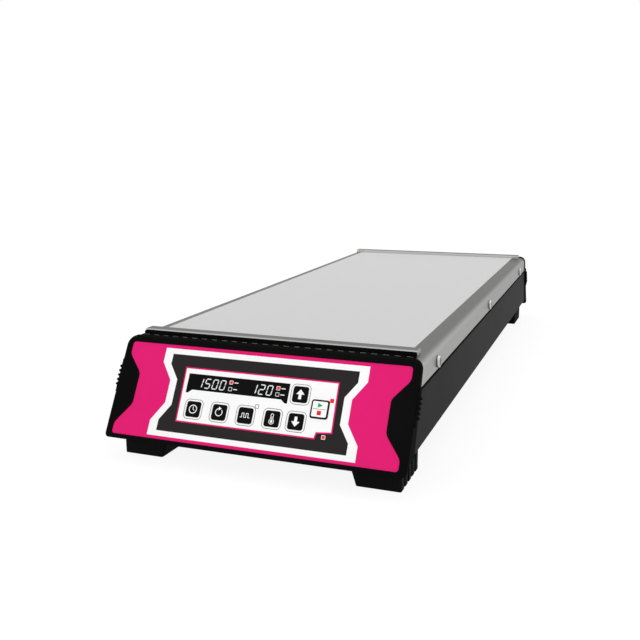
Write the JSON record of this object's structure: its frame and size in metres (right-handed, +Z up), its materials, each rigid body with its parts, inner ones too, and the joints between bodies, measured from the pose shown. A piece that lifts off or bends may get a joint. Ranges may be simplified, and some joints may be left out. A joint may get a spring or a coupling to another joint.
{
  "type": "heated magnetic stirrer",
  "caption": "Low bench stirrer with a heated stainless top for two rows of vessels, leaning control panel, sprung keys and belt-driven magnets.",
  "frame": {"origin": "middle of the instrument, on the bench that its feet stand on", "axes": "+Z up, -Y towards the user at the control panel, +X to the user's right"},
  "size_m": [0.2318, 0.6274, 0.0884],
  "materials": {
    "stainless_steel": "bead-blasted stainless steel sheet, satin",
    "coated_plate": "pale matt coating on an aluminium plate",
    "tray_paint": "dark grey powder coat, fine texture",
    "cap_plastic": "black moulded plastic, satin",
    "panel_print": "printed overlay, magenta, white and dark grey, semi-matt",
    "window_plastic": "dark clear display window, gloss",
    "black_key": null,
    "white_key": "white key with a black border, semi-matt",
    "foot_rubber": "black rubber, matt",
    "screw_steel": "bright steel screw",
    "inlet_plastic": "black moulded plastic, half gloss",
    "rocker_plastic": "black moulded plastic, gloss",
    "circuit_board": "green circuit board",
    "heater_silicone": "red-brown silicone, matt",
    "insulation_fibre": "pale mineral fibre board",
    "sensor_metal": "plain aluminium block",
    "deck_steel": "zinc-plated steel sheet",
    "motor_steel": "plain steel",
    "belt_rubber": "black rubber belt",
    "cable_sheath": "grey cable sheath",
    "rotor_plastic": "off-white acetal",
    "magnet_metal": "dark sintered magnet"
  },
  "bodies": {
    "housing": {"top_cover": "stainless_steel", "work_surface": "coated_plate", "heater_mat": "heater_silicone", "insulation_board": "insulation_fibre", "temperature_sensor": "sensor_metal", "base_tray": "tray_paint", "front_cap": "cap_plastic", "rear_cap": "cap_plastic", "control_panel": "panel_print", "display_window": "window_plastic", "display_board": "circuit_board", "power_inlet": "inlet_plastic", "switch_frame": "inlet_plastic", "cover_screw_right_1": "screw_steel", "cover_screw_right_2": "screw_steel", "cover_screw_right_3": "screw_steel", "cover_screw_left_1": "screw_steel", "cover_screw_left_2": "screw_steel", "cover_screw_left_3": "screw_steel", "foot_front_left": "foot_rubber", "foot_front_right": "foot_rubber", "foot_rear_right": "foot_rubber", "foot_rear_left": "foot_rubber", "control_board": "circuit_board", "power_board": "circuit_board", "display_ribbon": "cable_sheath", "mains_harness": "cable_sheath", "drive_deck": "deck_steel", "drive_motor": "motor_steel", "drive_belt": "belt_rubber"},
    "time_key": {"time_key": "black_key"},
    "speed_key": {"speed_key": "black_key"},
    "pulse_key": {"pulse_key": "black_key"},
    "temperature_key": {"temperature_key": "black_key"},
    "down_key": {"down_key": "black_key"},
    "up_key": {"up_key": "black_key"},
    "start_stop_key": {"start_stop_key": "white_key"},
    "fuse_drawer": {"fuse_drawer": "inlet_plastic"},
    "switch_rocker": {"switch_rocker": "rocker_plastic"},
    "motor_pulley": {"motor_pulley": "motor_steel"},
    "rotor_1": {"rotor_1": "rotor_plastic", "magnet_1": "magnet_metal"},
    "rotor_2": {"rotor_2": "rotor_plastic", "magnet_2": "magnet_metal"},
    "rotor_3": {"rotor_3": "rotor_plastic", "magnet_3": "magnet_metal"},
    "rotor_4": {"rotor_4": "rotor_plastic", "magnet_4": "magnet_metal"},
    "rotor_5": {"rotor_5": "rotor_plastic", "magnet_5": "magnet_metal"},
    "rotor_6": {"rotor_6": "rotor_plastic", "magnet_6": "magnet_metal"},
    "rotor_7": {"rotor_7": "rotor_plastic", "magnet_7": "magnet_metal"},
    "rotor_8": {"rotor_8": "rotor_plastic", "magnet_8": "magnet_metal"},
    "rotor_9": {"rotor_9": "rotor_plastic", "magnet_9": "magnet_metal"},
    "rotor_10": {"rotor_10": "rotor_plastic", "magnet_10": "magnet_metal"}
  },
  "joints": [
    {"name": "time_key_press", "type": "slide", "parent": "housing", "child": "time_key", "axis": [0, 0.866, -0.5], "range_m": [0, 0.0004], "stiffness_N_per_m": 600, "springref_m": -0.0006},
    {"name": "speed_key_press", "type": "slide", "parent": "housing", "child": "speed_key", "axis": [0, 0.866, -0.5], "range_m": [0, 0.0004], "stiffness_N_per_m": 600, "springref_m": -0.0006},
    {"name": "pulse_key_press", "type": "slide", "parent": "housing", "child": "pulse_key", "axis": [0, 0.866, -0.5], "range_m": [0, 0.0004], "stiffness_N_per_m": 600, "springref_m": -0.0006},
    {"name": "temperature_key_press", "type": "slide", "parent": "housing", "child": "temperature_key", "axis": [0, 0.866, -0.5], "range_m": [0, 0.0004], "stiffness_N_per_m": 600, "springref_m": -0.0006},
    {"name": "down_key_press", "type": "slide", "parent": "housing", "child": "down_key", "axis": [0, 0.866, -0.5], "range_m": [0, 0.0004], "stiffness_N_per_m": 600, "springref_m": -0.0006},
    {"name": "up_key_press", "type": "slide", "parent": "housing", "child": "up_key", "axis": [0, 0.866, -0.5], "range_m": [0, 0.0004], "stiffness_N_per_m": 600, "springref_m": -0.0006},
    {"name": "start_stop_key_press", "type": "slide", "parent": "housing", "child": "start_stop_key", "axis": [0, 0.866, -0.5], "range_m": [0, 0.0004], "stiffness_N_per_m": 600, "springref_m": -0.0006},
    {"name": "fuse_drawer_slide", "type": "slide", "parent": "housing", "child": "fuse_drawer", "axis": [0, 1, 0], "range_m": [0, 0.012]},
    {"name": "power_switch_rock", "type": "hinge", "parent": "housing", "child": "switch_rocker", "pos_m": [-0.024, 0.28208, 0.0495], "axis": [-1, 0, 0], "range_deg": [0, 20]},
    {"name": "motor_spin", "type": "hinge", "parent": "housing", "child": "motor_pulley", "pos_m": [0, -0.232, 0.048], "axis": [0, 0, 1], "continuous": true},
    {"name": "rotor_1_spin", "type": "hinge", "parent": "housing", "child": "rotor_1", "pos_m": [-0.05, -0.2, 0.048], "axis": [0, 0, 1], "continuous": true},
    {"name": "rotor_2_spin", "type": "hinge", "parent": "housing", "child": "rotor_2", "pos_m": [0.05, -0.2, 0.048], "axis": [0, 0, 1], "continuous": true},
    {"name": "rotor_3_spin", "type": "hinge", "parent": "housing", "child": "rotor_3", "pos_m": [-0.05, -0.1, 0.048], "axis": [0, 0, 1], "continuous": true},
    {"name": "rotor_4_spin", "type": "hinge", "parent": "housing", "child": "rotor_4", "pos_m": [0.05, -0.1, 0.048], "axis": [0, 0, 1], "continuous": true},
    {"name": "rotor_5_spin", "type": "hinge", "parent": "housing", "child": "rotor_5", "pos_m": [-0.05, 0, 0.048], "axis": [0, 0, 1], "continuous": true},
    {"name": "rotor_6_spin", "type": "hinge", "parent": "housing", "child": "rotor_6", "pos_m": [0.05, 0, 0.048], "axis": [0, 0, 1], "continuous": true},
    {"name": "rotor_7_spin", "type": "hinge", "parent": "housing", "child": "rotor_7", "pos_m": [-0.05, 0.1, 0.048], "axis": [0, 0, 1], "continuous": true},
    {"name": "rotor_8_spin", "type": "hinge", "parent": "housing", "child": "rotor_8", "pos_m": [0.05, 0.1, 0.048], "axis": [0, 0, 1], "continuous": true},
    {"name": "rotor_9_spin", "type": "hinge", "parent": "housing", "child": "rotor_9", "pos_m": [-0.05, 0.2, 0.048], "axis": [0, 0, 1], "continuous": true},
    {"name": "rotor_10_spin", "type": "hinge", "parent": "housing", "child": "rotor_10", "pos_m": [0.05, 0.2, 0.048], "axis": [0, 0, 1], "continuous": true}
  ],
  "couplings": [
    {"joint": "rotor_2_spin", "follows": "rotor_1_spin", "ratio": 1},
    {"joint": "rotor_3_spin", "follows": "rotor_1_spin", "ratio": 1},
    {"joint": "rotor_4_spin", "follows": "rotor_1_spin", "ratio": 1},
    {"joint": "rotor_5_spin", "follows": "rotor_1_spin", "ratio": 1},
    {"joint": "rotor_6_spin", "follows": "rotor_1_spin", "ratio": 1},
    {"joint": "rotor_7_spin", "follows": "rotor_1_spin", "ratio": 1},
    {"joint": "rotor_8_spin", "follows": "rotor_1_spin", "ratio": 1},
    {"joint": "rotor_9_spin", "follows": "rotor_1_spin", "ratio": 1},
    {"joint": "rotor_10_spin", "follows": "rotor_1_spin", "ratio": 1},
    {"joint": "motor_spin", "follows": "rotor_1_spin", "ratio": 0.84127}
  ]
}
